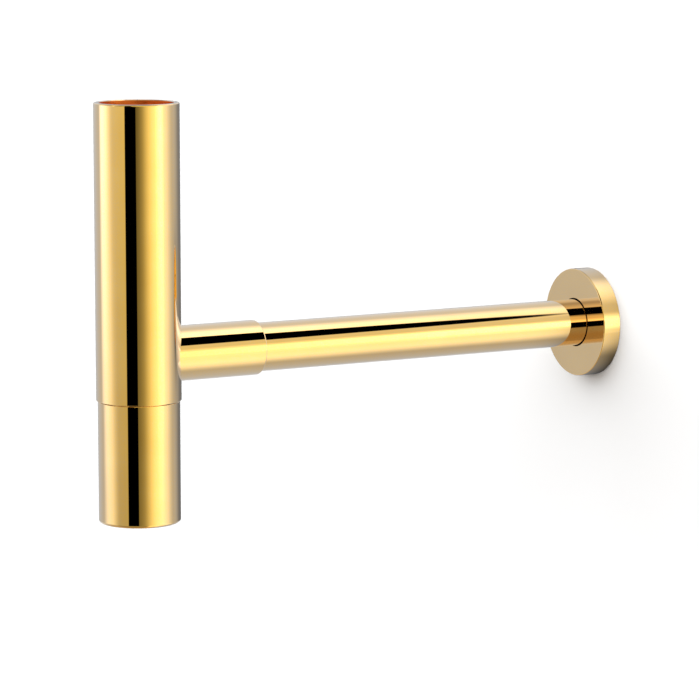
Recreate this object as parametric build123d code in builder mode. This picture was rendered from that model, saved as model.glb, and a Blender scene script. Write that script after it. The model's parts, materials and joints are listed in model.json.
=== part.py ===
from build123d import *
import os

# A slim bottle trap for a wash basin. Millimetres, +Z up, +Y towards the wall.
# The origin is the centre of the coupling nut's mouth, where the basin waste screws in.
# Water runs down the inlet tube into the cup, rises round the tube and leaves by the spur.

# Inlet tube
tube_d = 30.0
tube_wall = 1.0
collar_step = 4.2
collar_thickness = 2.5
gasket_thickness = 2.5
floor_room = 27.6

# Coupling nut
collar_gap = 0.4
inlet_thread_length = 10.0
thread_relief = 1.3
nut_wall = 2.8
nut_lip = 3.0
nut_flutes = 12
flute_r = 1.6
flute_depth = 0.8

# Body
bore_gap = 0.4
body_wall = 3.4
nut_recess = 8.2
rim_above_outlet = 163.2
body_below_spur = 10.2
rim_round = 1.0
seam_round = 0.3

# Gland that holds and seals the inlet tube inside the body
gland_room = 22.0
gland_height = 10.0
gland_slots = 4
slot_width = 6.0
slot_depth = 3.0
slip_thickness = 1.5
seal_collar = 2.5
cone_height = 5.5
cone_toe = 2.0
seat_lip = 3.5
seat_shelf = 0.8

# Cleaning cup
seam_gap = 0.5
cup_step = 1.0
cup_height = 79.1
cup_wall = 4.0
cup_floor = 4.0
cup_round = 2.0
cup_inner_round = 4.0
spigot_height = 12.0
spigot_wall = 2.4
neck_thickness = 2.0
seal_land = 1.2
cup_seal_cord = 1.5

# Outlet spur and pipe
pipe_d = 32.0
pipe_wall = 1.5
pipe_tail = 50.0
spur_wall = 1.9
spur_length = 57.0
spur_round = 1.0
socket_depth = 40.5
spur_seal_cord = 1.0
spur_seal_spacing = 8.0
axis_to_wall = 347.5
depth_mark_set_back = 3.0
depth_mark_width = 1.0
depth_mark_depth = 0.3

# Wall flange
flange_d = 74.0
flange_thickness = 13.0
flange_face = 3.5
flange_rim = 3.0
flange_gap = 0.75
flange_round = 0.6
hub_wall = 1.9
hub_set_back = 1.0
grip_ring_cord = 2.5

# Fits and small edges
thread_gap = 0.3
tube_gap = 0.4
pipe_fit = 0.1
seal_gap = 0.05
groove_side = 0.3
edge_break = 0.4
lead_in = 0.8

# Radii, from the inlet tube outwards
tube_r = tube_d / 2
tube_bore_r = tube_r - tube_wall
collar_r = tube_r + collar_step
thread_r = collar_r + collar_gap
relief_r = thread_r + thread_relief
nut_r = relief_r + nut_wall
bore_r = nut_r + bore_gap
body_r = bore_r + body_wall
cup_r = body_r - cup_step
cup_bore_r = cup_r - cup_wall
spigot_r = bore_r - thread_gap
neck_r = spigot_r - spigot_wall
tube_hole_r = tube_r + tube_gap
gland_r = bore_r - thread_gap
seal_bore_r = tube_r + seal_gap
cone_top_r = bore_r - seat_shelf
cone_bottom_r = seal_bore_r + cone_toe

# Radii round the outlet pipe
pipe_r = pipe_d / 2
pipe_bore_r = pipe_r - pipe_wall
socket_r = pipe_r + pipe_fit
spur_r = socket_r + spur_wall
flange_r = flange_d / 2
flange_bore_r = pipe_r + flange_gap
grip_floor_r = pipe_r + grip_ring_cord + 2 * seal_gap
hub_r = grip_floor_r + hub_wall

# Levels, from the coupling nut's mouth
gasket_top_z = -inlet_thread_length
collar_top_z = gasket_top_z - gasket_thickness
lip_top_z = collar_top_z - collar_thickness
nut_bottom_z = lip_top_z - nut_lip
gland_top_z = nut_bottom_z - gland_room
slip_top_z = gland_top_z - gland_height
seal_top_z = slip_top_z - slip_thickness
cone_top_z = seal_top_z - seal_collar
cone_bottom_z = cone_top_z - cone_height
seat_bottom_z = cone_bottom_z - seat_lip
rim_z = nut_recess
outlet_z = rim_z - rim_above_outlet
body_bottom_z = outlet_z - spur_r - body_below_spur
cup_top_z = body_bottom_z - seam_gap
cup_bottom_z = cup_top_z - cup_height
cup_floor_z = cup_bottom_z + cup_floor
neck_z = cup_top_z - neck_thickness
spigot_top_z = cup_top_z + spigot_height
tube_tip_z = cup_floor_z + floor_room

# Distances along the outlet, from the body's axis
spur_end_y = body_r + spur_length
socket_y = spur_end_y - socket_depth
outer_seal_y = spur_end_y - spur_seal_spacing
inner_seal_y = outer_seal_y - spur_seal_spacing
flange_front_y = axis_to_wall - flange_thickness
hub_back_y = axis_to_wall - hub_set_back
grip_ring_y = (flange_front_y + hub_back_y) / 2
depth_mark_y = axis_to_wall + depth_mark_set_back
pipe_end_y = axis_to_wall + pipe_tail

# Seal rings and their grooves
cup_seal_r = bore_r - seal_gap - cup_seal_cord / 2
cup_groove_width = cup_seal_cord + 2 * groove_side
cup_groove_depth = spigot_r - bore_r + cup_seal_cord + 2 * seal_gap
cup_seal_z = cup_top_z + seal_land + cup_groove_width / 2
spur_seal_r = pipe_r + seal_gap + spur_seal_cord / 2
spur_groove_width = spur_seal_cord + 2 * groove_side
spur_groove_depth = spur_seal_cord + 2 * seal_gap - pipe_fit
grip_ring_r = pipe_r + seal_gap + grip_ring_cord / 2
grip_groove_width = grip_ring_cord + 2 * groove_side
grip_groove_depth = grip_floor_r - flange_bore_r

# Sections round the outlet are drawn with the distance from the body's axis across and the radius up.
outlet_plane = Plane(origin=(0, 0, outlet_z), x_dir=(0, 1, 0), z_dir=(1, 0, 0))
outlet_axis = Axis((0, 0, outlet_z), (0, 1, 0))

# Body: upright tube with the outlet spur brazed to its side and the gland's seat brazed inside
with BuildPart() as trap_body:
    with BuildSketch(Plane.XZ) as tube_section:
        with BuildLine():
            Polyline((0, body_bottom_z), (body_r, body_bottom_z), (body_r, rim_z), (0, rim_z), close=True)
        make_face()
        outer_corners = tube_section.vertices().group_by(Axis.X)[-1].sort_by(Axis.Y)
        fillet(outer_corners[-1], rim_round)
        fillet(outer_corners[0], seam_round)
    revolve(axis=Axis.Z)
    with BuildSketch(outlet_plane) as spur_section:
        with BuildLine():
            Polyline((0, 0), (spur_end_y, 0), (spur_end_y, spur_r), (0, spur_r), close=True)
        make_face()
        fillet(spur_section.vertices().group_by(Axis.X)[-1].sort_by(Axis.Y)[-1], spur_round)
    revolve(axis=outlet_axis)
    # Bore from end to end, eased at the rim and at the mouth for the cup
    with BuildSketch(Plane.XZ):
        with BuildLine():
            Polyline(
                (0, body_bottom_z),
                (bore_r + edge_break, body_bottom_z),
                (bore_r, body_bottom_z + edge_break),
                (bore_r, rim_z - edge_break),
                (bore_r + edge_break, rim_z),
                (0, rim_z),
                close=True,
            )
        make_face()
    revolve(axis=Axis.Z, mode=Mode.SUBTRACT)
    # Water way through the spur, with the pipe's socket and a groove for each seal ring
    with BuildSketch(outlet_plane):
        with BuildLine():
            Polyline(
                (0, 0),
                (0, pipe_bore_r),
                (socket_y, pipe_bore_r),
                (socket_y, socket_r),
                (spur_end_y - edge_break, socket_r),
                (spur_end_y, socket_r + edge_break),
                (spur_end_y, 0),
                close=True,
            )
        make_face()
        with Locations((inner_seal_y, socket_r), (outer_seal_y, socket_r)):
            Rectangle(spur_groove_width, 2 * spur_groove_depth)
    revolve(axis=outlet_axis, mode=Mode.SUBTRACT)
    # Seat for the cone seal, rooted half way into the wall
    with BuildSketch(Plane.XZ):
        with BuildLine():
            Polyline(
                (bore_r + body_wall / 2, cone_top_z),
                (cone_top_r, cone_top_z),
                (cone_bottom_r, cone_bottom_z),
                (tube_hole_r, cone_bottom_z),
                (tube_hole_r, seat_bottom_z),
                (bore_r + body_wall / 2, seat_bottom_z),
                close=True,
            )
        make_face()
    revolve(axis=Axis.Z)

# Cleaning cup: turned cup with a threaded spigot that screws up into the body
with BuildPart() as cleaning_cup:
    with BuildSketch(Plane.XZ) as cup_section:
        with BuildLine():
            Polyline(
                (0, cup_bottom_z),
                (cup_r, cup_bottom_z),
                (cup_r, cup_top_z),
                (spigot_r, cup_top_z),
                (spigot_r, spigot_top_z - lead_in),
                (spigot_r - lead_in, spigot_top_z),
                (neck_r, spigot_top_z),
                (neck_r, neck_z),
                (cup_bore_r, neck_z + neck_r - cup_bore_r),
                (cup_bore_r, cup_floor_z),
                (0, cup_floor_z),
                close=True,
            )
        make_face()
        cup_corners = cup_section.vertices().group_by(Axis.X)[-1].sort_by(Axis.Y)
        fillet(cup_corners[0], cup_round)
        fillet(cup_corners[-1], edge_break)
        fillet(cup_section.vertices().sort_by_distance((cup_bore_r, cup_floor_z))[0], cup_inner_round)
        with Locations((spigot_r, cup_seal_z)):
            Rectangle(2 * cup_groove_depth, cup_groove_width, mode=Mode.SUBTRACT)
    revolve(axis=Axis.Z)

with BuildPart() as cup_seal:
    with BuildSketch(Plane.XZ):
        with Locations((cup_seal_r, cup_seal_z)):
            Circle(cup_seal_cord / 2)
    revolve(axis=Axis.Z)

# Inlet tube: drawn tube with a collar at its top, open at both ends
with BuildPart() as inlet_tube:
    with BuildSketch(Plane.XZ):
        with BuildLine():
            Polyline(
                (tube_bore_r, collar_top_z),
                (collar_r, collar_top_z),
                (collar_r, lip_top_z),
                (tube_r, lip_top_z),
                (tube_r, tube_tip_z + edge_break),
                (tube_r - edge_break, tube_tip_z),
                (tube_bore_r, tube_tip_z),
                close=True,
            )
        make_face()
    revolve(axis=Axis.Z)

with BuildPart() as inlet_gasket:
    with BuildSketch(Plane.XY.offset(collar_top_z)):
        Circle(collar_r)
        Circle(tube_bore_r, mode=Mode.SUBTRACT)
    extrude(amount=gasket_thickness)

# Coupling nut: hangs on the inlet tube's collar and turns freely, with flutes for the fingers
with BuildPart() as coupling_nut:
    with BuildSketch(Plane.XZ):
        with BuildLine():
            Polyline(
                (thread_r + edge_break, 0),
                (nut_r - edge_break, 0),
                (nut_r, -edge_break),
                (nut_r, nut_bottom_z + edge_break),
                (nut_r - edge_break, nut_bottom_z),
                (tube_hole_r, nut_bottom_z),
                (tube_hole_r, lip_top_z),
                (relief_r, lip_top_z),
                (relief_r, gasket_top_z),
                (thread_r, gasket_top_z),
                (thread_r, -edge_break),
                close=True,
            )
        make_face()
    revolve(axis=Axis.Z)
    with BuildSketch(Plane.XY.offset(nut_bottom_z)):
        with PolarLocations(nut_r + flute_r - flute_depth, nut_flutes):
            Circle(flute_r)
    extrude(amount=-nut_bottom_z, mode=Mode.SUBTRACT)

# Gland: slotted ring nut, slip washer and tapered rubber ring, stacked on the seat
with BuildPart() as gland_nut:
    with BuildSketch(Plane.XZ):
        with BuildLine():
            Polyline(
                (tube_hole_r, slip_top_z),
                (gland_r - edge_break, slip_top_z),
                (gland_r, slip_top_z + edge_break),
                (gland_r, gland_top_z - edge_break),
                (gland_r - edge_break, gland_top_z),
                (tube_hole_r, gland_top_z),
                close=True,
            )
        make_face()
    revolve(axis=Axis.Z)
    with BuildSketch(Plane.XY.offset(gland_top_z)):
        with PolarLocations((tube_hole_r + gland_r) / 2, gland_slots):
            Rectangle(2 * (gland_r - tube_hole_r), slot_width)
    extrude(amount=-slot_depth, mode=Mode.SUBTRACT)

with BuildPart() as slip_washer:
    with BuildSketch(Plane.XY.offset(seal_top_z)):
        Circle(gland_r)
        Circle(tube_hole_r, mode=Mode.SUBTRACT)
    extrude(amount=slip_thickness)

with BuildPart() as cone_seal:
    with BuildSketch(Plane.XZ):
        with BuildLine():
            Polyline(
                (seal_bore_r, seal_top_z),
                (cone_top_r, seal_top_z),
                (cone_top_r, cone_top_z),
                (cone_bottom_r, cone_bottom_z),
                (seal_bore_r, cone_bottom_z),
                close=True,
            )
        make_face()
    revolve(axis=Axis.Z)

# Outlet pipe: straight tube from the spur's socket into the wall, with a ring turned in its tail
# that shows how far it goes into the drain
with BuildPart() as outlet_pipe:
    with BuildSketch(outlet_plane) as pipe_section:
        with BuildLine():
            Polyline(
                (socket_y, pipe_bore_r),
                (socket_y, pipe_r - lead_in),
                (socket_y + lead_in, pipe_r),
                (pipe_end_y - lead_in, pipe_r),
                (pipe_end_y, pipe_r - lead_in),
                (pipe_end_y, pipe_bore_r),
                close=True,
            )
        make_face()
        with Locations((depth_mark_y + depth_mark_width / 2, pipe_r)):
            Rectangle(depth_mark_width, 2 * depth_mark_depth, mode=Mode.SUBTRACT)
    revolve(axis=outlet_axis)

# Wall flange: turned cover plate, hollow at the back, with a hub that holds a grip ring on the pipe
with BuildPart() as wall_flange:
    with BuildSketch(outlet_plane) as flange_section:
        with BuildLine():
            Polyline(
                (flange_front_y, flange_bore_r),
                (flange_front_y, flange_r),
                (axis_to_wall, flange_r),
                (axis_to_wall, flange_r - flange_rim),
                (flange_front_y + flange_face, flange_r - flange_rim),
                (flange_front_y + flange_face, hub_r),
                (hub_back_y, hub_r),
                (hub_back_y, flange_bore_r),
                close=True,
            )
        make_face()
        rim_corners = flange_section.vertices().group_by(Axis.Y)[-1].sort_by(Axis.X)
        fillet(rim_corners[0], flange_round)
        with Locations((grip_ring_y, flange_bore_r)):
            Rectangle(grip_groove_width, 2 * grip_groove_depth, mode=Mode.SUBTRACT)
    revolve(axis=outlet_axis)


def seal_ring(along_y, centre_r, cord):
    """A rubber ring of round cord on the outlet's axis."""
    with BuildPart() as ring:
        with BuildSketch(outlet_plane):
            with Locations((along_y, centre_r)):
                Circle(cord / 2)
        revolve(axis=outlet_axis)
    return ring


pieces = {
    "trap_body": trap_body,
    "cleaning_cup": cleaning_cup,
    "cup_seal": cup_seal,
    "inlet_tube": inlet_tube,
    "inlet_gasket": inlet_gasket,
    "coupling_nut": coupling_nut,
    "gland_nut": gland_nut,
    "slip_washer": slip_washer,
    "cone_seal": cone_seal,
    "outlet_pipe": outlet_pipe,
    "spur_seal_inner": seal_ring(inner_seal_y, spur_seal_r, spur_seal_cord),
    "spur_seal_outer": seal_ring(outer_seal_y, spur_seal_r, spur_seal_cord),
    "wall_flange": wall_flange,
    "flange_grip_ring": seal_ring(grip_ring_y, grip_ring_r, grip_ring_cord),
}

os.makedirs("parts", exist_ok=True)
for name, piece in pieces.items():
    piece.part.label = name
    export_step(piece.part, f"parts/{name}.step")
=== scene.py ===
# %% [markdown]
# # A polished gold basin trap
# A bottle trap hangs under a wash basin. Water falls down a tube inside the upright body into a cup,
# rises round the tube and leaves through a side spur and a straight pipe into the wall.
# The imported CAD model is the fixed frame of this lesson. The pieces that show are made again here as
# fine, exactly smooth surfaces, because a mirror finish shows every flat facet of a coarse mesh.

# %% load the frame
import json

import bpy
import numpy as np
from mathutils import Matrix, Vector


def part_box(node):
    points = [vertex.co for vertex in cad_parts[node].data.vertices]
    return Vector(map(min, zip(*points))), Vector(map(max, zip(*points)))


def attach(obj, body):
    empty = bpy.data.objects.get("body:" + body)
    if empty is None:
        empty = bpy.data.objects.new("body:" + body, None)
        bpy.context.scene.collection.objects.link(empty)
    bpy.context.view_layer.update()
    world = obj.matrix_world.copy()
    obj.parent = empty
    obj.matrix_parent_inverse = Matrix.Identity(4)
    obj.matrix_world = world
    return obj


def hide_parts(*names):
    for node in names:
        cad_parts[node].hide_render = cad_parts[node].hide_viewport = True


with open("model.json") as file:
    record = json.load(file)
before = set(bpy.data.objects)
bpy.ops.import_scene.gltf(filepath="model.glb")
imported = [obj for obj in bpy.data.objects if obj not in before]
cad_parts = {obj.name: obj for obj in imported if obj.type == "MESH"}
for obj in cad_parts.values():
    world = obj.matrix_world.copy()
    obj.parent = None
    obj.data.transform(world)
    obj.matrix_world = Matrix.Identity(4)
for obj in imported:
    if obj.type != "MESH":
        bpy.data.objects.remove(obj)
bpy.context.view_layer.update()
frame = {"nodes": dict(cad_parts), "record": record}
print("nodes:", ", ".join(frame["nodes"]))

# %% [markdown]
# ## Sizes
# The outside sizes are read off the frame, so the new surfaces land on the solids they stand for.
# Walls, gaps and edge rounds can't be read from a box, so they are named where they are first needed.

# %% sizes
MM = 0.001
mounts = {mount["name"]: mount for mount in frame["record"]["mounts"]}
body_low, body_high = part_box("trap_body")
cup_low, cup_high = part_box("cleaning_cup")
pipe_low, pipe_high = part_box("outlet_pipe")
flange_low, flange_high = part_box("wall_flange")
tube_low, tube_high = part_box("inlet_tube")
nut_low, nut_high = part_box("coupling_nut")

outlet_z = (pipe_low.z + pipe_high.z) / 2
body_r, rim_z, seam_z, spur_end_y = body_high.x, body_high.z, body_low.z, body_high.y
cup_r, cup_bottom_z, spigot_top_z = cup_high.x, cup_low.z, cup_high.z
pipe_r, socket_y, pipe_end_y = mounts["drain_spigot"]["dims"]["r_mm"] * MM, pipe_low.y, pipe_high.y
flange_r, flange_front_y, wall_y = flange_high.z - outlet_z, flange_low.y, flange_high.y
collar_r, collar_top_z, tube_tip_z = tube_high.x, tube_high.z, tube_low.z
thread_r, nut_top_z, nut_bottom_z = mounts["basin_inlet"]["dims"]["r_mm"] * MM, nut_high.z, nut_low.z

body_wall, pipe_wall, spur_wall, socket_gap = 3.4 * MM, 1.5 * MM, 1.9 * MM, 0.1 * MM
bore_r = body_r - body_wall
pipe_bore_r = pipe_r - pipe_wall
socket_r = pipe_r + socket_gap
spur_r = socket_r + spur_wall
edge_break = 0.4 * MM
fine_edge = 0.12 * MM
print(f"outlet axis {outlet_z / MM:.1f} mm, body radius {body_r / MM:.1f} mm, wall {wall_y / MM:.1f} mm")

# %% [markdown]
# ## Camera
# The photograph was taken with a long lens, from the side of the pipe and a little above it.
# The camera's place and its three directions were worked out from the straight edges of the object,
# which is exact enough to lay the render over the photograph.

# %% camera
sensor_mm, lens_mm, far_limit = 36.0, 172.437, 50.0
camera_place = np.array([1.91990, -0.93513, outlet_z + 0.30900])
azimuth, elevation = np.radians([60.385, 8.141])
to_right = np.array([np.cos(azimuth), np.sin(azimuth), 0.0])
to_eye = np.array(
    [np.sin(azimuth) * np.cos(elevation), -np.cos(azimuth) * np.cos(elevation), np.sin(elevation)]
)
pose = np.eye(4)
pose[:3, :] = np.column_stack([to_right, np.cross(to_eye, to_right), to_eye, camera_place])

camera = bpy.data.objects.new("camera", bpy.data.cameras.new("camera"))
camera.data.sensor_width = sensor_mm
camera.data.lens = lens_mm
camera.data.clip_end = far_limit
camera.matrix_world = Matrix(pose.tolist())
bpy.context.scene.collection.objects.link(camera)
bpy.context.scene.camera = camera
print("camera stands at", np.round(camera_place, 3))

# %% [markdown]
# ## Profiles with eased edges
# A turned piece is a profile spun round an axis. No real edge is perfectly sharp, and the thin light
# line along an edge is what tells the eye that metal is solid, so each corner becomes a small arc.
# The exact normal is kept with each point: a mirror needs it more than it needs a dense mesh.


# %% rounded profile
def rounded(corners, easing, closed=True, steps=6):
    """Straight runs between corners, with each corner replaced by an arc of its own radius.

    An arc touches both runs at radius * tan(half the turn) from the corner. Its points are the arc's centre
    plus the radius, swung evenly from one touching point to the other. The material lies to the left of the
    way the corners are listed, so the normal at a point is the direction of travel turned to the right.
    An open profile starts and ends on its first and last corner, and their radii aren't used.
    Returns the points (radius, place along the axis) and their normals.
    """
    corners = np.array(corners, float)
    easing = np.broadcast_to(np.array(easing, float), len(corners))
    into = corners - np.roll(corners, 1, axis=0)
    into /= np.linalg.norm(into, axis=1, keepdims=True)
    out = np.roll(into, -1, axis=0)
    turn = np.arctan2(into[:, 0] * out[:, 1] - into[:, 1] * out[:, 0], (into * out).sum(axis=1))
    touch = corners - into * (easing * np.tan(np.abs(turn) / 2))[:, None]
    rightward = np.column_stack([into[:, 1], -into[:, 0]])
    bend = (np.sign(turn) * easing)[:, None]
    centre = touch - rightward * bend
    swing = turn[:, None] * np.linspace(0, 1, steps + 1)
    normal = np.stack(
        [
            rightward[:, :1] * np.cos(swing) - rightward[:, 1:] * np.sin(swing),
            rightward[:, :1] * np.sin(swing) + rightward[:, 1:] * np.cos(swing),
        ],
        axis=-1,
    )
    point = centre[:, None] + normal * bend[:, None]
    if closed:
        point, normal = point.reshape(-1, 2), normal.reshape(-1, 2)
        return np.vstack([point, point[:1]]), np.vstack([normal, normal[:1]])
    point = np.vstack([corners[:1], point[1:-1].reshape(-1, 2), corners[-1:]])
    normal = np.vstack([normal[0, -1:], normal[1:-1].reshape(-1, 2), normal[-1, :1]])
    return point, normal


square_ring = rounded([(1, 0), (2, 0), (2, 1), (1, 1)], 0.1)
print("a square ring with eased edges has", len(square_ring[0]), "profile points")

# %% [markdown]
# ## Spinning a profile
# Spin could be a modifier, but then the normals would be guessed from the facets. Worked out with numpy,
# each surface is a grid of points and a grid of exact normals, over the profile and over the angle.
# Two axes are enough for the whole trap: the upright one of the body and the level one of the outlet.

# %% axes and turning
upright = np.array([(0, 0, 0), (0, 1, 0), (1, 0, 0), (0, 0, 1)], float)
level = np.array([(0, 0, outlet_z), (1, 0, 0), (0, 0, 1), (0, 1, 0)], float)
turns = 256
column_step = 2 * np.pi / turns
around = np.arange(turns + 1) * column_step


def on_axis(axis, radius, angle, along):
    """Points at a radius, an angle and a place along an axis.

    The place is the axis's centre, plus the radius towards cos(angle) of its first direction and sin(angle)
    of its second, plus the distance along its third.
    """
    centre, first, second, third = axis
    radius, angle, along = (part[..., None] for part in np.broadcast_arrays(radius, angle, along))
    return centre + radius * (np.cos(angle) * first + np.sin(angle) * second) + along * third


def headings(axis):
    """The axis moved to the origin, so that what is worked out on it is a direction and not a place."""
    return np.vstack([np.zeros(3), axis[1:]])


def turned(profile, axis, angle=around):
    """Grid of points and grid of normals of a profile spun round an axis: rows follow the profile."""
    point, normal = profile
    grid = on_axis(axis, point[:, :1], angle, point[:, 1:])
    return grid, on_axis(headings(axis), normal[:, :1], angle, normal[:, 1:])


print("each turned surface has", turns, "columns")

# %% [markdown]
# ## Welding surfaces into a piece
# A piece may be several grids: walls, a rounded rim, a thread. Points that fall on each other become one
# point, so the skin is closed, while each face corner keeps the normal of the grid it came from.
# That keeps a crease crisp where two surfaces meet and a curve smooth everywhere else.


# %% weld
def weld(grids, tolerance=1e-7):
    """Points, quads, triangles, corner normals and each face's grid number of the skin that the grids make.

    Each grid cell is a quad, turned round if it faces against its normals. Points that agree to the
    tolerance are merged. A cell that closes to a triangle at a pole stays as a triangle, and a cell with no
    width goes.
    """
    points, normals, quads, sources, start = [], [], [], [], 0
    for number, (grid, normal) in enumerate(grids):
        rows, columns = grid.shape[:2]
        place = np.arange(rows * columns).reshape(rows, columns)
        cell = np.stack([place[:-1, :-1], place[:-1, 1:], place[1:, 1:], place[1:, :-1]], -1).reshape(-1, 4)
        flat, facing = grid.reshape(-1, 3), normal.reshape(-1, 3)
        corner = flat[cell]
        outward = np.cross(corner[:, 2] - corner[:, 0], corner[:, 3] - corner[:, 1])
        if (outward * facing[cell].mean(axis=1)).sum() < 0:
            cell = cell[:, ::-1]
        points.append(flat)
        normals.append(facing)
        quads.append(cell + start)
        sources.append(np.full(len(cell), number))
        start += len(flat)
    points, normals, quads, sources = (np.concatenate(part) for part in (points, normals, quads, sources))
    snapped = np.round(points / tolerance)
    _, first, merged = np.unique(snapped, axis=0, return_index=True, return_inverse=True)
    faces = merged.reshape(-1)[quads]
    same = faces == np.roll(faces, -1, axis=1)
    whole = ~same.any(axis=1)
    tips = same.sum(axis=1) == 1
    keep = np.array([[1, 2, 3], [0, 2, 3], [0, 1, 3], [0, 1, 2]])[np.argmax(same[tips], axis=1)]
    tip_faces = np.take_along_axis(faces[tips], keep, axis=1)
    tip_normals = normals[np.take_along_axis(quads[tips], keep, axis=1)]
    corner_normals = np.concatenate([normals[quads[whole]].reshape(-1, 3), tip_normals.reshape(-1, 3)])
    face_sources = np.concatenate([sources[whole], sources[tips]])
    return points[first], faces[whole], tip_faces, corner_normals, face_sources


def open_edges(*face_sets):
    """How many edges do not have exactly two faces: none on a closed skin."""
    pairs = [np.stack([f, np.roll(f, -1, axis=1)], axis=-1).reshape(-1, 2) for f in face_sets if len(f)]
    _, uses = np.unique(np.sort(np.concatenate(pairs), axis=1), axis=0, return_counts=True)
    return int((uses != 2).sum())


ring_points, ring_quads, ring_tips, *_ = weld([turned(square_ring, upright)])
print("the square ring has", len(ring_points), "points and", open_edges(ring_quads, ring_tips), "open edges")


# %% place a piece
def add_piece(name, grids, finish, body, inside=(), inside_finish=None):
    """Mesh object of the welded grids, with its finish, riding a body in place of the CAD node.

    Grids listed as the inside are welded to the same skin and may have a finish of their own.
    """
    points, quads, tips, normals, sources = weld([*grids, *inside])
    mesh = bpy.data.meshes.new(name)
    mesh.from_pydata(points.tolist(), [], quads.tolist() + tips.tolist(), shade_flat=False)
    mesh.normals_split_custom_set(normals.tolist())
    mesh.materials.append(finish)
    if inside_finish:
        mesh.materials.append(inside_finish)
        mesh.polygons.foreach_set("material_index", (sources >= len(grids)).astype(np.int32))
    piece = bpy.data.objects.new(name, mesh)
    bpy.context.scene.collection.objects.link(piece)
    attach(piece, body)
    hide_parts(name.removesuffix("_skin"))
    faces, gaps = len(quads) + len(tips), open_edges(quads, tips)
    print(f"{name}: {len(points)} points, {faces} faces, {gaps} open edges")
    return piece


print("nodes to dress:", len(frame["nodes"]))

# %% [markdown]
# ## Steps for finishes
# In Blender a finish is a net of nodes. It could be drawn by hand in the shader editor, but written in code
# it can be read and repeated. Each helper adds one small step to a net and gives back the socket with its
# result, so that a net reads like a sum.


# %% sums and ranges
def maths(tree, operation, *values):
    """A Math node over numbers and sockets."""
    node = tree.nodes.new("ShaderNodeMath")
    node.operation = operation
    for socket, value in zip(node.inputs, values):
        if isinstance(value, (int, float)):
            socket.default_value = value
        else:
            tree.links.new(value, socket)
    return node.outputs["Value"]


def moved(tree, value, edges, ends=(0.0, 1.0), form="LINEAR"):
    """A value moved from between two edges to between two ends, and held at the ends outside the edges."""
    rise = tree.nodes.new("ShaderNodeMapRange")
    rise.interpolation_type = form
    rise.inputs["From Min"].default_value, rise.inputs["From Max"].default_value = edges
    rise.inputs["To Min"].default_value, rise.inputs["To Max"].default_value = ends
    tree.links.new(value, rise.inputs["Value"])
    return rise.outputs["Result"]


def parts_of(tree, vector):
    """The x, y and z of a vector."""
    parts = tree.nodes.new("ShaderNodeSeparateXYZ")
    tree.links.new(vector, parts.inputs["Vector"])
    return [parts.outputs[axis] for axis in "XYZ"]


def length_of(tree, first, second):
    """sqrt(first^2 + second^2)."""
    square = maths(tree, "MULTIPLY_ADD", first, first, maths(tree, "MULTIPLY", second, second))
    return maths(tree, "SQRT", square)


print("steps with numbers:", maths.__name__, moved.__name__, parts_of.__name__, length_of.__name__)

# %% colours, noise and shaders
noise_spread = (0.3, 0.7)


def own_place(tree):
    """The piece's own coordinates, which a pattern follows."""
    return tree.nodes.new("ShaderNodeTexCoord").outputs["Object"]


def scaled_noise(tree, scale, detail):
    """Fractal noise over the piece's own coordinates. Most of its values lie within the noise spread."""
    noise = tree.nodes.new("ShaderNodeTexNoise")
    noise.inputs["Scale"].default_value = scale
    noise.inputs["Detail"].default_value = detail
    tree.links.new(own_place(tree), noise.inputs["Vector"])
    return noise.outputs["Fac"]


def colour_between(tree, value, low, high):
    """A colour that runs from low to high with a value."""
    blend = tree.nodes.new("ShaderNodeMix")
    blend.data_type = "RGBA"
    blend.inputs["A"].default_value = low
    blend.inputs["B"].default_value = high
    tree.links.new(value, blend.inputs["Factor"])
    return blend.outputs["Result"]


def mixed(tree, share, first, second):
    """The first shader at a share of 0 and the second at 1."""
    mix = tree.nodes.new("ShaderNodeMixShader")
    for socket, value in zip(mix.inputs, (share, first, second)):
        tree.links.new(value, socket)
    return mix.outputs["Shader"]


def new_finish(name):
    """A material with an empty net, and the net."""
    finish = bpy.data.materials.new(name)
    finish.use_nodes = True
    finish.node_tree.nodes.clear()
    return finish, finish.node_tree


def show(tree, shader, kind="ShaderNodeOutputMaterial"):
    """The net's output, which shows a shader."""
    tree.links.new(shader, tree.nodes.new(kind).inputs["Surface"])


print("noise is spread from", noise_spread[0], "to", noise_spread[1])

# %% [markdown]
# ## Polished gold
# The outside is brass, buffed to a mirror and plated in a warm yellow gold. A plain metal shader is too
# even: on the real finish the gold is deepest where one looks straight at it, and its gloss pales to
# white towards the edges. So two metals are mixed by the angle of the surface, a gold one and a white one.
# The buffing leaves the colour and the gloss very slightly uneven, which two fine noises give.

# %% gold finish
gold_deep = (0.960, 0.572, 0.096, 1)
gold_light = (1.000, 0.610, 0.114, 1)
white = (1, 1, 1, 1)
mirror_roughness = (0.010, 0.030)
plating_scale, buffing_scale = 40, 900
edge_gloss_power = 1.3


def polished_gold():
    """Gold and white metal mixed by (1 - cosine of the viewing angle) to a power, both mirrors."""
    finish, tree = new_finish("polished_gold")
    plating = moved(tree, scaled_noise(tree, plating_scale, detail=2), noise_spread)
    buffing = moved(tree, scaled_noise(tree, buffing_scale, detail=3), noise_spread, mirror_roughness)
    gold_metal = tree.nodes.new("ShaderNodeBsdfPrincipled")
    white_metal = tree.nodes.new("ShaderNodeBsdfPrincipled")
    tree.links.new(colour_between(tree, plating, gold_deep, gold_light), gold_metal.inputs["Base Color"])
    white_metal.inputs["Base Color"].default_value = white
    for metal in (gold_metal, white_metal):
        metal.inputs["Metallic"].default_value = 1
        tree.links.new(buffing, metal.inputs["Roughness"])
    facing = tree.nodes.new("ShaderNodeLayerWeight")
    facing.inputs["Blend"].default_value = 0.5
    paling = maths(tree, "POWER", facing.outputs["Facing"], edge_gloss_power)
    show(tree, mixed(tree, paling, gold_metal.outputs["BSDF"], white_metal.outputs["BSDF"]))
    return finish


gold_finish = polished_gold()
print("finish:", gold_finish.name)

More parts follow.
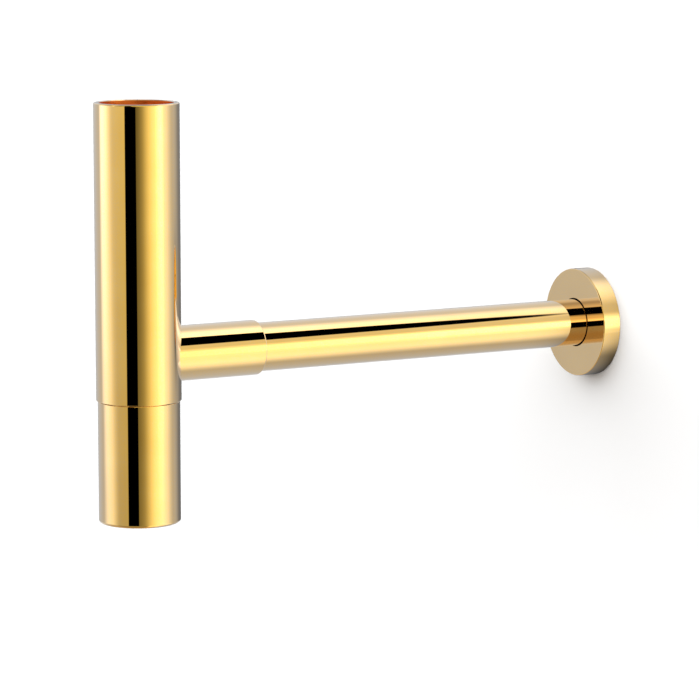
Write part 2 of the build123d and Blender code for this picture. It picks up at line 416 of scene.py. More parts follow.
# %% [markdown]
# ## Turned brass, black rubber and white nylon
# The inner pieces are plain. Brass straight off the lathe keeps fine rings, which run round the axis on
# the sides and on the flat faces alike: a one-dimensional noise over radius plus height gives both.
# The bore of the body is only bored out, not polished, and stays duller than the plated outside. Its red
# orange is a painted reflection: the colour of gold mirrored in gold.
# Moulded rubber is nearly black, with a dull and slightly pitted skin. Nylon is milky and softly glossy.

# %% inner finishes
relief_strength = 0.4


def lathe_rings(tree, scale):
    """Noise over the distance from the upright axis plus the height, which makes rings on every face."""
    across, along, height = parts_of(tree, own_place(tree))
    rings = tree.nodes.new("ShaderNodeTexNoise")
    rings.noise_dimensions = "1D"
    rings.inputs["Scale"].default_value = scale
    rings.inputs["Detail"].default_value = 4
    tree.links.new(maths(tree, "ADD", length_of(tree, across, along), height), rings.inputs["W"])
    return rings.outputs["Fac"]


def plain_finish(name, dark, light, roughness, metallic, pattern, depth):
    """One shader with colour, roughness and a shallow relief that all follow one pattern."""
    finish, tree = new_finish(name)
    value = pattern(tree)
    skin = tree.nodes.new("ShaderNodeBsdfPrincipled")
    skin.inputs["Metallic"].default_value = metallic
    relief = tree.nodes.new("ShaderNodeBump")
    relief.inputs["Strength"].default_value = relief_strength
    relief.inputs["Distance"].default_value = depth
    colour = colour_between(tree, moved(tree, value, noise_spread), dark, light)
    tree.links.new(colour, skin.inputs["Base Color"])
    tree.links.new(moved(tree, value, noise_spread, roughness), skin.inputs["Roughness"])
    tree.links.new(value, relief.inputs["Height"])
    tree.links.new(relief.outputs["Normal"], skin.inputs["Normal"])
    show(tree, skin.outputs["BSDF"])
    return finish


brass_finish = plain_finish(
    "turned_brass",
    dark=(0.63, 0.40, 0.13, 1),
    light=(0.80, 0.55, 0.22, 1),
    roughness=(0.16, 0.30),
    metallic=1.0,
    pattern=lambda tree: lathe_rings(tree, scale=4000),
    depth=0.02 * MM,
)
# the red orange colours of the bore are a painted reflection of gold mirrored in gold
bore_painted_reflection = plain_finish(
    "bored_brass_painted_reflection",
    dark=(0.95, 0.24, 0.035, 1),
    light=(1.00, 0.31, 0.055, 1),
    roughness=(0.26, 0.38),
    metallic=1.0,
    pattern=lambda tree: lathe_rings(tree, scale=1500),
    depth=0.02 * MM,
)
rubber_finish = plain_finish(
    "black_rubber",
    dark=(0.012, 0.012, 0.013, 1),
    light=(0.030, 0.029, 0.028, 1),
    roughness=(0.50, 0.72),
    metallic=0.0,
    pattern=lambda tree: scaled_noise(tree, scale=1500, detail=4),
    depth=0.05 * MM,
)
nylon_finish = plain_finish(
    "white_nylon",
    dark=(0.76, 0.75, 0.70, 1),
    light=(0.84, 0.83, 0.79, 1),
    roughness=(0.32, 0.46),
    metallic=0.0,
    pattern=lambda tree: scaled_noise(tree, scale=300, detail=3),
    depth=0.02 * MM,
)
print("finishes:", brass_finish.name, bore_painted_reflection.name, rubber_finish.name, nylon_finish.name)

# %% [markdown]
# ## Wall flange
# The flange covers the hole in the wall. It is a turned dish: a flat face, a rim, and a hollow back with a
# hub that grips the pipe by a rubber ring in a groove. One closed profile spun round the outlet makes it.

# %% wall flange
flange_face, flange_rim, hub_set_back, hub_wall = 3.5 * MM, 3.0 * MM, 1.0 * MM, 1.9 * MM
flange_gap, flange_round = 0.75 * MM, 0.6 * MM
grip_cord, ring_room, groove_side = 2.5 * MM, 0.05 * MM, 0.3 * MM
flange_bore_r = pipe_r + flange_gap
grip_floor_r = pipe_r + grip_cord + 2 * ring_room
hub_r = grip_floor_r + hub_wall
hub_back_y = wall_y - hub_set_back
grip_y = (flange_front_y + hub_back_y) / 2
grip_half = grip_cord / 2 + groove_side

flange_corners = [
    (flange_r, flange_front_y),
    (flange_r, wall_y),
    (flange_r - flange_rim, wall_y),
    (flange_r - flange_rim, flange_front_y + flange_face),
    (hub_r, flange_front_y + flange_face),
    (hub_r, hub_back_y),
    (flange_bore_r, hub_back_y),
    (flange_bore_r, grip_y + grip_half),
    (grip_floor_r, grip_y + grip_half),
    (grip_floor_r, grip_y - grip_half),
    (flange_bore_r, grip_y - grip_half),
    (flange_bore_r, flange_front_y),
]
flange_profile = rounded(flange_corners, [flange_round] + [fine_edge] * (len(flange_corners) - 1))
add_piece("wall_flange_skin", [turned(flange_profile, level)], gold_finish, "wall_flange")

# %% [markdown]
# ## Outlet pipe
# The pipe is a straight tube. Both ends are tapered so that they start easily into the seals, and a fine
# ring turned in the tail shows how far it goes into the drain. It is hidden behind the wall when fitted.

# %% outlet pipe
lead_in, pipe_edge = 0.8 * MM, 0.08 * MM
mark_set_back, mark_width, mark_depth = 3.0 * MM, 1.0 * MM, 0.3 * MM
mark_y = wall_y + mark_set_back
pipe_profile = rounded(
    [
        (pipe_bore_r, socket_y),
        (pipe_r - lead_in, socket_y),
        (pipe_r, socket_y + lead_in),
        (pipe_r, mark_y),
        (pipe_r - mark_depth, mark_y),
        (pipe_r - mark_depth, mark_y + mark_width),
        (pipe_r, mark_y + mark_width),
        (pipe_r, pipe_end_y - lead_in),
        (pipe_r - lead_in, pipe_end_y),
        (pipe_bore_r, pipe_end_y),
    ],
    pipe_edge,
)
add_piece("outlet_pipe_skin", [turned(pipe_profile, level)], gold_finish, "outlet_pipe")

# %% [markdown]
# ## Trap body
# The body is an upright tube with the spur brazed to its side. A Boolean could join them, but it leaves
# long thin faces that ripple in a mirror. Here each wall is unrolled flat instead. The spur's hole is a
# closed curve on it, a square window is drawn round the hole, and straight lines from the hole to the
# window make a tidy grid between them. The spur's own surface starts on that same curve, so all meet.

# %% window round the spur
window_columns, window_rows, window_rings = 80, 48, 9
window_angle = window_columns / 2 * column_step
window_margin = 6.0 * MM
level_steps = np.linspace(-1, 1, window_rows + 1)
side_steps = np.linspace(-1, 1, window_columns + 1)
window_walk = np.concatenate(
    [
        np.column_stack([np.ones(window_rows), level_steps[:-1]]),
        np.column_stack([side_steps[:0:-1], np.ones(window_columns)]),
        np.column_stack([-np.ones(window_rows), level_steps[:0:-1]]),
        np.column_stack([side_steps[:-1], -np.ones(window_columns)]),
        [[1, -1]],
    ]
)
spur_angle = np.unwrap(np.arctan2(window_walk[:, 1], window_walk[:, 0]))
wall_angle = np.linspace(window_angle, 2 * np.pi - window_angle, turns - window_columns + 1)
print("the walk round the window has", len(window_walk), "steps")


# %% pierced walls
def pierced_wall(wall_r, hole_r, side):
    """A stretch of tube wall with a round hole through it, and the height of its upper edge over the outlet.

    Unrolled, the wall has the angle across and the height up. The hole's edge at angle s lies at
    (arcsin(hole radius * cos s / wall radius), hole radius * sin s), and the window is a square walk round
    it. A point is the hole's edge moved a share of the way to the window. Side 1 faces out and -1 faces in.
    """
    half = hole_r + window_margin
    hole = np.column_stack([np.arcsin(hole_r * np.cos(spur_angle) / wall_r), hole_r * np.sin(spur_angle)])
    window_edge = window_walk * [window_angle, half]
    share = np.linspace(0, 1, window_rings + 1)[:, None, None]
    flat = hole + share * (window_edge - hole)
    rest = np.stack(np.meshgrid(wall_angle, level_steps * half), axis=-1)
    grids = []
    for part in (flat, rest):
        grid = on_axis(upright, wall_r, part[..., 0], outlet_z + part[..., 1])
        grids.append((grid, on_axis(upright, side, part[..., 0], 0.0)))
    return grids, half


def hole_collar(wall_r, hole_r, end_y, side):
    """A tube from its curve on the wall, where y = sqrt(wall radius^2 - x^2), straight out to a flat end."""
    curve_y = np.sqrt(wall_r**2 - (hole_r * np.cos(spur_angle)) ** 2)
    along = np.stack([curve_y, np.full_like(curve_y, end_y)])
    normal = on_axis(headings(level), side, spur_angle, 0.0)
    return on_axis(level, hole_r, spur_angle, along), np.broadcast_to(normal, (2, *normal.shape))


outer_wall, outer_half = pierced_wall(body_r, spur_r, 1)
inner_wall, inner_half = pierced_wall(bore_r, pipe_bore_r, -1)
print("window round the spur:", outer_wall[0][0].shape, "points")

# %% [markdown]
# The rest of the body is turned: the rounded rim, the seat for the cone seal inside, and the lower edge
# that meets the cup. The end of the spur is turned about the outlet, with its socket and seal grooves.

# %% turned ends of the body
rim_round, seam_round = 1.0 * MM, 0.3 * MM
seat_top_z, seat_shelf_z, seat_bottom_z = -54.0 * MM, -59.5 * MM, -63.0 * MM
seat_step, seat_toe_r, tube_hole_r = 0.8 * MM, 17.05 * MM, 15.4 * MM

upper_profile = rounded(
    [
        (body_r, outlet_z + outer_half),
        (body_r, rim_z),
        (bore_r + edge_break, rim_z),
        (bore_r, rim_z - edge_break),
    ],
    [fine_edge, rim_round, fine_edge, fine_edge],
    closed=False,
)
upper_bore = rounded(
    [
        (bore_r, rim_z - edge_break),
        (bore_r, seat_top_z),
        (bore_r - seat_step, seat_top_z),
        (seat_toe_r, seat_shelf_z),
        (tube_hole_r, seat_shelf_z),
        (tube_hole_r, seat_bottom_z),
        (bore_r, seat_bottom_z),
        (bore_r, outlet_z + inner_half),
    ],
    fine_edge,
    closed=False,
)
lower_profile = rounded(
    [
        (bore_r, outlet_z - inner_half),
        (bore_r, seam_z + edge_break),
        (bore_r + edge_break, seam_z),
        (body_r, seam_z),
        (body_r, outlet_z - outer_half),
    ],
    [fine_edge, fine_edge, fine_edge, seam_round, fine_edge],
    closed=False,
)
print("the rim's profile has", len(upper_profile[0]), "points")

# %% trap body
spur_round, plain_end = 1.0 * MM, 10.0 * MM
spur_cord, seal_spacing = 1.0 * MM, 8.0 * MM
groove_half = spur_cord / 2 + groove_side
groove_r = pipe_r + spur_cord + 2 * ring_room
outer_seal_y = spur_end_y - seal_spacing
inner_seal_y = outer_seal_y - seal_spacing
spur_collar_y, way_collar_y = spur_end_y - plain_end, socket_y - plain_end

spur_corners = [
    (spur_r, spur_collar_y),
    (spur_r, spur_end_y),
    (socket_r + edge_break, spur_end_y),
    (socket_r, spur_end_y - edge_break),
    (socket_r, outer_seal_y + groove_half),
    (groove_r, outer_seal_y + groove_half),
    (groove_r, outer_seal_y - groove_half),
    (socket_r, outer_seal_y - groove_half),
    (socket_r, inner_seal_y + groove_half),
    (groove_r, inner_seal_y + groove_half),
    (groove_r, inner_seal_y - groove_half),
    (socket_r, inner_seal_y - groove_half),
    (socket_r, socket_y),
    (pipe_bore_r, socket_y),
    (pipe_bore_r, way_collar_y),
]
spur_easing = [fine_edge, spur_round] + [fine_edge] * (len(spur_corners) - 2)
spur_profile = rounded(spur_corners, spur_easing, closed=False)
body_angle = (np.arange(turns + 1) - window_columns // 2) * column_step
body_grids = [
    *outer_wall,
    turned(upper_profile, upright, body_angle),
    turned(lower_profile, upright, body_angle),
    turned(spur_profile, level, spur_angle),
    hole_collar(body_r, spur_r, spur_collar_y, 1),
    hole_collar(bore_r, pipe_bore_r, way_collar_y, -1),
]
bore_grids = [*inner_wall, turned(upper_bore, upright, body_angle)]
add_piece("trap_body_skin", body_grids, gold_finish, "trap_body", bore_grids, bore_painted_reflection)

# %% [markdown]
# ## Threads
# A screw thread is a groove that climbs once a turn. On a grid of angle and height it is a cosine wave of
# height over pitch, minus the turn: the wave meets itself after a full turn, so no seam shows. Clipping the
# wave flattens the crests, and fading it out at both ends lets the thread run into the plain wall.

# %% thread surface
thread_rows, wave_gain = 12, 1.5
padded_turn = np.arange(-1, turns + 2) * column_step


def thread(plain_r, depth, low_z, high_z, pitch, side):
    """Threaded wall: radius = plain radius - side * depth * fade * wave, at each angle and height.

    wave = (1 + gain * cos(2 pi height / pitch - angle)) / 2, clipped to 0..1. fade rises from 0 to 1 within
    half a pitch of each end. The normal is the cross product of the grid's two directions.
    """
    rows = int(round((high_z - low_z) / pitch * thread_rows)) + 1
    height = np.linspace(low_z, high_z, rows)[:, None]
    wave = np.clip((1 + wave_gain * np.cos(2 * np.pi * height / pitch - padded_turn)) / 2, 0, 1)
    fade = np.clip(np.minimum(height - low_z, high_z - height) / (pitch / 2), 0, 1)
    grid = on_axis(upright, plain_r - side * depth * fade * wave, padded_turn, height)
    normal = np.cross(np.gradient(grid, axis=0), np.gradient(grid, axis=1))
    normal /= np.linalg.norm(normal, axis=-1, keepdims=True)
    outwards = on_axis(upright, float(side), padded_turn, 0.0)
    normal *= np.sign((normal * outwards).sum(axis=-1, keepdims=True))
    return grid[:, 1:-1], normal[:, 1:-1]


print("a thread turn has", thread_rows, "rows and", turns, "columns")

# %% [markdown]
# ## Cleaning cup
# The cup unscrews from the body so that the trap can be emptied. Its outside is a hair slimmer than the
# body, which leaves the thin shadow line at the seam. Inside it is a plain turned bowl, and above the seam
# it has a threaded spigot with a groove for a rubber ring. The profile skips the thread, which is welded in.

# %% cleaning cup
seam_gap, spigot_gap, spigot_wall, neck_depth = 0.5 * MM, 0.3 * MM, 2.4 * MM, 2.0 * MM
cup_wall, cup_floor, cup_round, cup_inner_round = 4.0 * MM, 4.0 * MM, 2.0 * MM, 4.0 * MM
seal_shelf, seal_cord = 1.2 * MM, 1.5 * MM
thread_start, thread_end = 0.5 * MM, 0.2 * MM
cup_pitch, cup_thread_depth = 2.0 * MM, 0.6 * MM

cup_top_z = seam_z - seam_gap
cup_bore_r, cup_floor_z = cup_r - cup_wall, cup_bottom_z + cup_floor
spigot_r = bore_r - spigot_gap
neck_r, neck_z = spigot_r - spigot_wall, cup_top_z - neck_depth
seal_low_z = cup_top_z + seal_shelf
seal_high_z = seal_low_z + seal_cord + 2 * groove_side
seal_floor_r = bore_r - seal_cord - 2 * ring_room
thread_low_z, thread_high_z = seal_high_z + thread_start, spigot_top_z - lead_in - thread_end

cup_corners = [
    (0, cup_bottom_z),
    (cup_r, cup_bottom_z),
    (cup_r, cup_top_z),
    (spigot_r, cup_top_z),
    (spigot_r, seal_low_z),
    (seal_floor_r, seal_low_z),
    (seal_floor_r, seal_high_z),
    (spigot_r, seal_high_z),
    (spigot_r, thread_low_z),
]
cup_easing = [fine_edge, cup_round, edge_break] + [fine_edge] * (len(cup_corners) - 3)
cup_outside = rounded(cup_corners, cup_easing, closed=False)
cup_inside = rounded(
    [
        (spigot_r, thread_high_z),
        (spigot_r, spigot_top_z - lead_in),
        (spigot_r - lead_in, spigot_top_z),
        (neck_r, spigot_top_z),
        (neck_r, neck_z),
        (cup_bore_r, neck_z - (cup_bore_r - neck_r)),
        (cup_bore_r, cup_floor_z),
        (0, cup_floor_z),
    ],
    [fine_edge] * 4 + [edge_break, edge_break, cup_inner_round, fine_edge],
    closed=False,
)
cup_thread = thread(spigot_r, cup_thread_depth, thread_low_z, thread_high_z, cup_pitch, 1)
cup_grids = [turned(cup_outside, upright), cup_thread, turned(cup_inside, upright)]
add_piece("cleaning_cup_skin", cup_grids, gold_finish, "cleaning_cup")

# %% [markdown]
# ## Inlet tube
# A drawn brass tube with a collar at its top. The collar hangs in the coupling nut and carries the gasket.
# Looking down into the trap one sees its bore, so the inside is finished like the outside.

# %% inlet tube
tube_r, tube_wall, collar_thickness = 15.0 * MM, 1.0 * MM, 2.5 * MM
tube_bore_r = tube_r - tube_wall
collar_under_z = collar_top_z - collar_thickness
tube_profile = rounded(
    [
        (tube_bore_r, collar_top_z),
        (tube_bore_r, tube_tip_z),
        (tube_r - edge_break, tube_tip_z),
        (tube_r, tube_tip_z + edge_break),
        (tube_r, collar_under_z),
        (collar_r, collar_under_z),
        (collar_r, collar_top_z),
    ],
    fine_edge,
)
add_piece("inlet_tube_skin", [turned(tube_profile, upright)], brass_finish, "inlet_tube")

# %% [markdown]
# ## Coupling nut
# The nut hangs loose on the collar and screws onto the basin waste. Twelve flutes round its outside give the
# fingers a hold. Each flute is part of a cylinder, so on the grid the radius is simply the smaller of the
# turned profile and the near side of that cylinder. The pipe thread inside is the same wave as on the cup.

# %% flutes
nut_gap, relief_depth = 0.4 * MM, 1.3 * MM
flutes, flute_r, flute_depth = 12, 1.6 * MM, 0.8 * MM
nut_r, relief_r = bore_r - nut_gap, thread_r + relief_depth
backward_cosine = -0.2


def fluted(profile, angle):
    """A turned profile cut by flutes: radius = the smaller of the profile's and the flute's near side.

    A flute of radius f stands with its centre at distance d, so at an angle t from it the near side is
    d * cos t - sqrt(f^2 - (d * sin t)^2), as long as the line of sight meets the flute at all. The normal is
    the cross product of the grid's two directions, or the plain profile's where the grid has no width, and
    is turned round where it points back into the nut.
    """
    point, _ = profile
    distance = nut_r + flute_r - flute_depth
    spacing = 2 * np.pi / flutes
    offset = (angle + spacing / 2) % spacing - spacing / 2
    inside = flute_r**2 - (distance * np.sin(offset)) ** 2
    near = distance * np.cos(offset) - np.sqrt(np.clip(inside, 0, None))
    limit = np.where(inside > 0, near, np.inf)
    grid = on_axis(upright, np.minimum(point[:, :1], limit), angle, point[:, 1:])
    plain = turned(profile, upright, angle)[1]
    normal = np.cross(np.gradient(grid, axis=1), np.gradient(grid, axis=0))
    length = np.linalg.norm(normal, axis=-1, keepdims=True)
    normal = np.divide(normal, length, out=plain.copy(), where=length > 0)
    normal *= np.where((normal * plain).sum(axis=-1, keepdims=True) < backward_cosine, -1, 1)
    return grid[:, 1:-1], normal[:, 1:-1]


print(flutes, "flutes, each", round(flute_depth / MM, 2), "mm deep")

# %% coupling nut
gasket_thickness, thread_shelf, thread_mouth = 2.5 * MM, 0.4 * MM, 1.0 * MM
waste_pitch, waste_thread_depth = 2.309 * MM, 1.2 * MM
gasket_z = collar_top_z + gasket_thickness
nut_thread_low_z, nut_thread_top_z = gasket_z + thread_shelf, nut_top_z - thread_mouth
nut_corners = [
    (thread_r, nut_thread_low_z),
    (thread_r, gasket_z),
    (relief_r, gasket_z),
    (relief_r, collar_under_z),
    (tube_hole_r, collar_under_z),
    (tube_hole_r, nut_bottom_z),
    (nut_r - edge_break, nut_bottom_z),
    (nut_r, nut_bottom_z + edge_break),
    (nut_r, nut_top_z - edge_break),
    (nut_r - edge_break, nut_top_z),
    (thread_r + edge_break, nut_top_z),
    (thread_r, nut_top_z - edge_break),
    (thread_r, nut_thread_top_z),
]
nut_profile = rounded(nut_corners, fine_edge, closed=False)
nut_thread = thread(thread_r, waste_thread_depth, nut_thread_low_z, nut_thread_top_z, waste_pitch, -1)
nut_grids = [fluted(nut_profile, padded_turn), nut_thread]
add_piece("coupling_nut_skin", nut_grids, brass_finish, "coupling_nut")

# %% [markdown]
# ## Seals, washer and gland
# The rubber rings, the nylon washer and the slotted gland nut sit inside the trap. Their CAD shapes are
# already right and hardly show, so they keep their own meshes and only get their finishes.

# %% inner pieces
inner_finishes = {
    rubber_finish: (
        "cup_seal", "inlet_gasket", "cone_seal", "spur_seal_inner", "spur_seal_outer", "flange_grip_ring"
    ),
    nylon_finish: ("slip_washer",),
    brass_finish: ("gland_nut",),
}
for finish, names in inner_finishes.items():
    for name in names:
        shown = frame["nodes"][name].data.materials
        shown.clear()
        shown.append(finish)
    print(finish.name, "on", ", ".join(names))

# %% [markdown]
# ## Wall, floor and light
# The pipe runs into a white wall, which catches a faint shadow round the flange. A pale floor lies below.
# The wall is one-sided, so a view from behind still shows the trap. What the gold mirrors is a studio that
# only its reflections see: cards and soft lamps round the horizon, and long strips over and under the pipe.

# %% paint of the wall and the floor
# painted shade round the flange, which reflections see on the wall
shade_beside, shade_below, shade_fading = 0.20, 0.70, 22 * MM
shade_turn = (-0.30, 0.75)
mottle_scale, mottle_share = 6, 0.995


def smooth_step(tree, value, edges):
    """0 below the first edge, 1 above the second and a smooth rise between them."""
    return moved(tree, value, edges, form="SMOOTHSTEP")


def painted_flange_shade(tree):
    """Painted shade on the wall round the flange, a gradient over its position that reflections see: 1 -
    strength * exp(-distance from the rim / fading).

    The strength grows smoothly from its value above the flange to its full value underneath.
    """
    across, _, height = parts_of(tree, own_place(tree))
    down = maths(tree, "SUBTRACT", outlet_z, height)
    distance = length_of(tree, across, down)
    below = smooth_step(tree, maths(tree, "DIVIDE", down, distance), shade_turn)
    strength = maths(tree, "MULTIPLY_ADD", below, shade_below, shade_beside)
    past_rim = maths(tree, "SUBTRACT", flange_r, distance)
    fading = maths(tree, "EXPONENT", maths(tree, "DIVIDE", past_rim, shade_fading))
    return maths(tree, "SUBTRACT", 1.0, maths(tree, "MULTIPLY", strength, fading))


def matt_paint(name, colour):
    """Diffuse paint with a faint mottle, on the front only. The back is clear.

    Reflections look through the front too, and see what is behind it darkened by the painted shade of the
    flange.
    """
    finish, tree = new_finish(name)
    mottle = moved(tree, scaled_noise(tree, mottle_scale, detail=2), noise_spread)
    darker = [channel * mottle_share for channel in colour]
    paint = tree.nodes.new("ShaderNodeBsdfDiffuse")
    tree.links.new(colour_between(tree, mottle, (*darker, 1), (*colour, 1)), paint.inputs["Color"])
    in_mirror = tree.nodes.new("ShaderNodeLightPath").outputs["Is Glossy Ray"]
    from_behind = tree.nodes.new("ShaderNodeNewGeometry").outputs["Backfacing"]
    unshaded = maths(tree, "SUBTRACT", 1.0, in_mirror)
    clear = tree.nodes.new("ShaderNodeBsdfTransparent")
    # for reflections the clear front takes the painted shade of the flange
    tree.links.new(maths(tree, "MAXIMUM", painted_flange_shade(tree), unshaded), clear.inputs["Color"])
    hidden = maths(tree, "MAXIMUM", in_mirror, from_behind)
    show(tree, mixed(tree, hidden, paint.outputs["BSDF"], clear.outputs["BSDF"]))
    return finish


plaster = matt_paint("white_plaster", (0.92, 0.92, 0.92))
paving = matt_paint("pale_floor", (0.62, 0.62, 0.61))
print("paints:", plaster.name, paving.name)

# %% wall and floor
wall_gap, floor_z, wall_top_z, reach = 0.3 * MM, -0.75, 3.0, 4.0
back_y = wall_y + wall_gap


def flat_sheet(name, corners, finish):
    """A single rectangle of the stage."""
    mesh = bpy.data.meshes.new(name)
    mesh.from_pydata(corners, [], [(0, 1, 2, 3)])
    mesh.materials.append(finish)
    sheet = bpy.data.objects.new(name, mesh)
    bpy.context.scene.collection.objects.link(sheet)
    return sheet


wall_corners = [(-reach, floor_z), (reach, floor_z), (reach, wall_top_z), (-reach, wall_top_z)]
floor_corners = [(-reach, -reach), (reach, -reach), (reach, reach), (-reach, reach)]
flat_sheet("wall", [(x, back_y, z) for x, z in wall_corners], plaster)
ground = flat_sheet("floor", [(x, y, floor_z) for x, y in floor_corners], paving)
ground.visible_diffuse = False
print("wall at", round(back_y, 4), "m, floor at", floor_z, "m")

# %% lamp
lamp_strength, lamp_spread = 4.6, np.radians(110)
lamp_tilt, lamp_swing = np.radians([35, -10])
lamp = bpy.data.objects.new("overhead_lamp", bpy.data.lights.new("overhead_lamp", "SUN"))
lamp.data.energy = lamp_strength
lamp.data.angle = lamp_spread
lamp.rotation_euler = (lamp_tilt, 0, lamp_swing)
lamp.visible_glossy = False
bpy.context.scene.collection.objects.link(lamp)
print("lamp strength", lamp_strength)

# %% [markdown]
# The studio is set up as in a photographer's room, but out of numbers. A direction becomes an angle round
# the horizon and an angle round the outlet's axis, and each lamp or card covers a stretch of one of them,
# with soft edges. Near the level the lamps round the horizon count, because the upright tube mirrors only
# those. Higher and lower the long lamps beside the pipe count, which the level pipe mirrors. A lamp lists
# the angles in degrees where it starts, is full, begins to fade and ends, and then two strengths, because
# those on the horizon change downwards and those beside the pipe change towards the wall.

# %% lamps and cards
room_level = (0.55, 0.50)
horizon_lamps = {
    "dim corner": (-185, -148, -124, -114, -0.34, -0.34),
    "left window": (-59, -40, -38, -2, 1.02, 0.12),
    "left foot light": (-59, -28, -20, 8, 0.00, 0.50),
    "pale card": (-56, -48, 31, 33, 0.20, 0.02),
    "grey card": (31, 33, 61, 92, -0.40, -0.28),
    "right wash": (76, 116, 130, 176, 0.92, 0.92),
    "right window": (112, 126, 129, 142, 0.94, 0.10),
}
beside_level = (0.52, 0.49)
pipe_lamps = {
    "left side card": (108, 126, 195, 230, 0.15, 0.20),
    "lower lamp": (-80, -38, 4, 24, 0.90, 0.81),
    "side window": (-16, 3, 6, 27, 0.50, 1.35),
    "pale strip": (8, 24, 44, 74, 0.29, 0.32),
    "upper lamp": (38, 74, 80, 126, 1.33, 0.93),
}
black_card = (31.5, 33, 61, 62.5)
print("studio:", ", ".join([*horizon_lamps, *pipe_lamps]))


# %% light along an angle
def shut_out(tree, bright, cover):
    """A brightness behind a cover: times 1 - cover."""
    return maths(tree, "MULTIPLY", bright, maths(tree, "SUBTRACT", 1.0, cover))


def stretch(tree, angle, start, full, fade, end):
    """1 from full to fade, easing to 0 at the start and the end, which are angles in degrees.

    The angle is counted on from the start and wraps after a turn, so a stretch may cross the half turn.
    """
    start, full, fade, end = np.radians([start, full, fade, end]).tolist()
    onward = maths(tree, "WRAP", maths(tree, "SUBTRACT", angle, start), 2 * np.pi, 0.0)
    rise = smooth_step(tree, onward, (0.0, full - start))
    return shut_out(tree, rise, smooth_step(tree, onward, (fade - start, end - start)))


def between(tree, share, first, second):
    """The first strength at a share of 0, the second at 1, and a straight change between them."""
    return maths(tree, "MULTIPLY_ADD", share, second - first, first)


def lit_room(tree, angle, share, room, lamps):
    """The room's level plus every lamp's strength times its stretch. A card that dims has one below 0."""
    bright = between(tree, share, *room)
    for *edges, first, second in lamps.values():
        strength = between(tree, share, first, second)
        bright = maths(tree, "MULTIPLY_ADD", stretch(tree, angle, *edges), strength, bright)
    return bright


def blended(tree, share, first, second):
    """The first value at a share of 0 and the second at 1."""
    return maths(tree, "MULTIPLY_ADD", share, maths(tree, "SUBTRACT", second, first), first)


print("steps with light:", stretch.__name__, lit_room.__name__, shut_out.__name__, blended.__name__)

# %% studio round the trap
depth_of_body_view = (0.072, 0.190)
reach_of_pipe_view = (0.450, 0.520)
world = bpy.data.worlds.new("studio")
world.use_nodes = True
bpy.context.scene.world = world
tree = world.node_tree
tree.nodes.clear()
east, north, height = parts_of(tree, tree.nodes.new("ShaderNodeTexCoord").outputs["Generated"])
south = maths(tree, "MULTIPLY", north, -1.0)
depth = maths(tree, "MULTIPLY", height, -1.0)
horizon_angle = maths(tree, "ARCTAN2", east, south)
strip_angle = maths(tree, "ARCTAN2", height, east)

downwards = moved(tree, depth, depth_of_body_view)
round_horizon = lit_room(tree, horizon_angle, downwards, room_level, horizon_lamps)
near_level = shut_out(tree, round_horizon, stretch(tree, horizon_angle, *black_card))
towards_wall = moved(tree, north, reach_of_pipe_view)
beside_pipe = lit_room(tree, strip_angle, towards_wall, beside_level, pipe_lamps)
print("studio net:", len(tree.nodes), "nodes so far")

# %% [markdown]
# On the side away from the wall the lower lamp is off, and the black card is tall, so that the rim and the
# rounded edges stay dark above the card's stripe. A ceiling dims what comes from overhead.

# %% dark sides
unlit_level, card_top_cover, ceiling_cover = 0.34, 0.85, 0.60
unlit_stretch = (-102, -92, -12, -2)
card_top_stretch = (31.5, 34, 47, 53)
room_side, pipe_side = (-0.1, 0.1), (-0.40, -0.25)
card_top_rise, ceiling_rise = (0.0, 0.1), (0.55, 0.85)

off_wall = smooth_step(tree, south, room_side)
off_pipe = smooth_step(tree, south, pipe_side)
unlit = maths(tree, "MULTIPLY", stretch(tree, strip_angle, *unlit_stretch), off_wall)
dim_side = blended(tree, unlit, beside_pipe, unlit_level)
above_level = smooth_step(tree, height, card_top_rise)
tall_card = maths(tree, "MULTIPLY", stretch(tree, horizon_angle, *card_top_stretch), above_level)
past_card = shut_out(tree, dim_side, maths(tree, "MULTIPLY", tall_card, card_top_cover))
overhead = maths(tree, "MULTIPLY", smooth_step(tree, height, ceiling_rise), off_pipe)
under_ceiling = shut_out(tree, past_card, maths(tree, "MULTIPLY", overhead, ceiling_cover))
print("light on the dark side", unlit_level)

# %% [markdown]
# A long black flag over the pipe makes the pipe's own dark stripe. It lies a little askew and ends in a
# rounded tip just short of the wall: a half ellipse past its start, and a straight band before it.

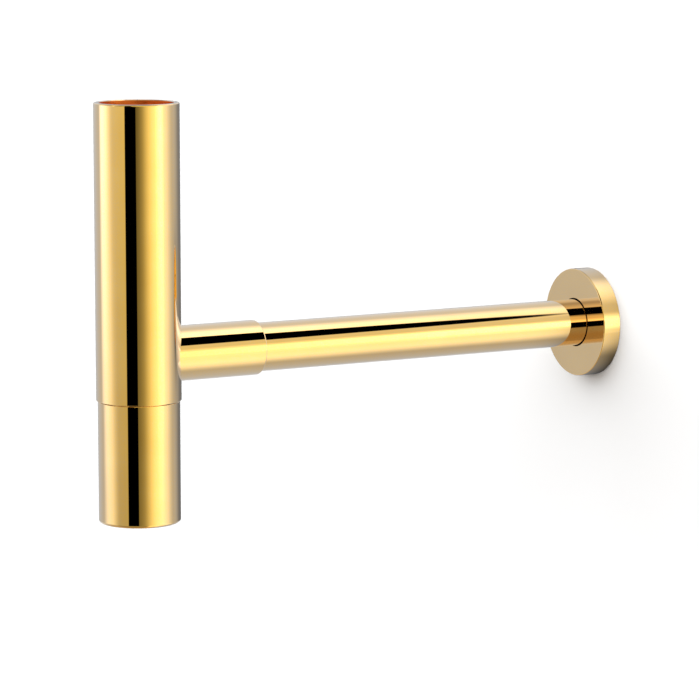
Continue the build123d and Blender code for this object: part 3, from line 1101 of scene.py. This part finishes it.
# %% flag over the pipe
flag_centre, flag_slant, flag_half = np.radians([58.3, 5.7, 19.0]).tolist()
flag_start, flag_reach = 0.40, 0.145
flag_edge = (0.90, 1.10)
from_flag = maths(tree, "SUBTRACT", strip_angle, flag_centre)
off_flag = maths(tree, "MULTIPLY_ADD", north, flag_slant, from_flag)
across_share = maths(tree, "DIVIDE", off_flag, flag_half)
beyond_start = maths(tree, "MAXIMUM", maths(tree, "SUBTRACT", north, flag_start), 0.0)
past_share = maths(tree, "DIVIDE", beyond_start, flag_reach)
across_square = maths(tree, "MULTIPLY", across_share, across_share)
flag_shape = maths(tree, "MULTIPLY_ADD", past_share, past_share, across_square)
off_the_level = maths(tree, "MULTIPLY", under_ceiling, smooth_step(tree, flag_shape, flag_edge))
print("flag over the pipe:", round(np.degrees(2 * flag_half)), "degrees wide")

# %% [markdown]
# The two sets meet where neither tube looks. Far below, away from the pipe, the studio has a warm wooden
# floor, so that the gold stays warm when one looks steeply down on it. Only mirrored rays see the studio.
# The camera sees a white room, and the matt pieces get an even fill beside the overhead lamp.

# %% world shader
level_middle, level_edge = -0.085, (0.17, 0.225)
warm_wood, wood_edge = (1.0, 0.78, 0.45, 1), (0.45, 0.80)
fill_level = 0.35


def even_light(strength):
    """A white background of one strength."""
    background = tree.nodes.new("ShaderNodeBackground")
    background.inputs["Color"].default_value = white
    background.inputs["Strength"].default_value = strength
    return background


off_middle = maths(tree, "ABSOLUTE", maths(tree, "SUBTRACT", height, level_middle))
off_level = smooth_step(tree, off_middle, level_edge)
over_wood = maths(tree, "MULTIPLY", smooth_step(tree, depth, wood_edge), off_pipe)
studio, white_room, soft_fill = even_light(1.0), even_light(1.0), even_light(fill_level)
tree.links.new(blended(tree, off_level, near_level, off_the_level), studio.inputs["Strength"])
tree.links.new(colour_between(tree, over_wood, white, warm_wood), studio.inputs["Color"])
ray = tree.nodes.new("ShaderNodeLightPath").outputs
fill, room, mirrored = (light.outputs["Background"] for light in (soft_fill, white_room, studio))
looked_at = mixed(tree, ray["Is Camera Ray"], fill, room)
show(tree, mixed(tree, ray["Is Glossy Ray"], looked_at, mirrored), "ShaderNodeOutputWorld")
print("fill strength", fill_level)

# %% [markdown]
# ## Finish
# The standard view transform shows colours as they were set.

# %% finish
bpy.context.scene.view_settings.view_transform = "Standard"
